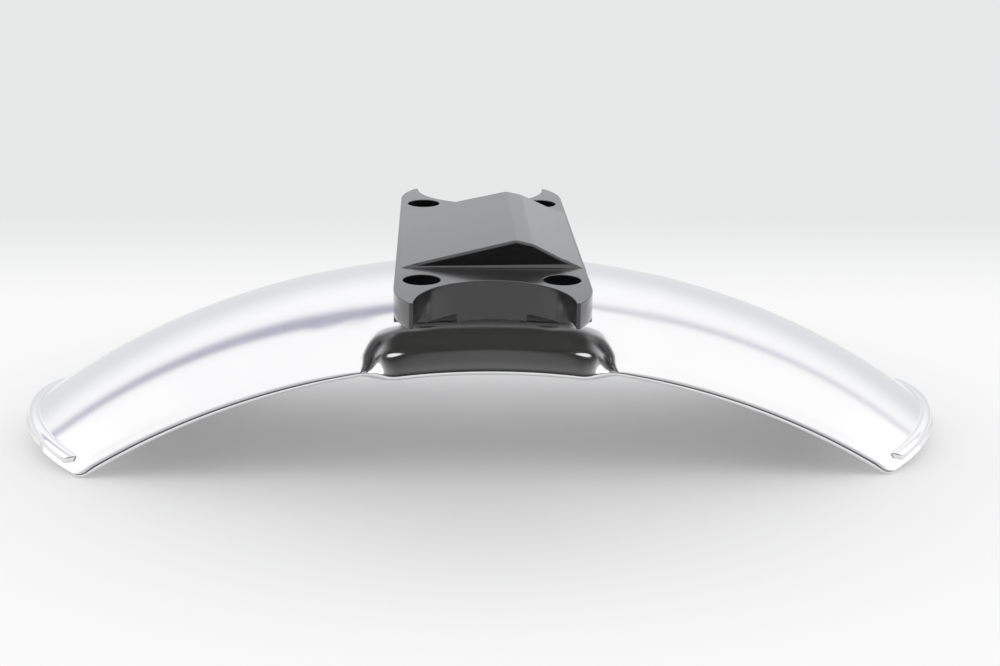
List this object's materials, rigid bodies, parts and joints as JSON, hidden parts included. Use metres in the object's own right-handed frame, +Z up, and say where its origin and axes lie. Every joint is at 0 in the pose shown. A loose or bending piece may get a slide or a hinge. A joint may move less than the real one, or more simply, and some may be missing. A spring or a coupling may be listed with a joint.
{
  "type": "motorcycle front mudguard",
  "caption": "Arched sheet-aluminium front mudguard with side recesses and beaded round ends, under a machined bracket that bolts between the fork legs.",
  "frame": {"origin": "middle of the footprint, on the floor that the blade's four corners stand on", "axes": "+X along the wheel, +Y across it, +Z up from the floor to the bracket"},
  "size_m": [0.409, 0.196, 0.0995],
  "materials": {
    "blade_aluminium": "rolled aluminium, polished to a soft sheen",
    "bracket_black": "machined aluminium, satin black anodised",
    "screw_steel": "plain stainless steel"
  },
  "bodies": {
    "root": {"mudguard_blade": "blade_aluminium", "fork_bracket": "bracket_black", "blade_screw_1": "screw_steel", "blade_screw_2": "screw_steel", "blade_screw_3": "screw_steel", "blade_screw_4": "screw_steel", "blade_washer_1": "screw_steel", "blade_washer_2": "screw_steel", "blade_washer_3": "screw_steel", "blade_washer_4": "screw_steel"}
  },
  "joints": []
}
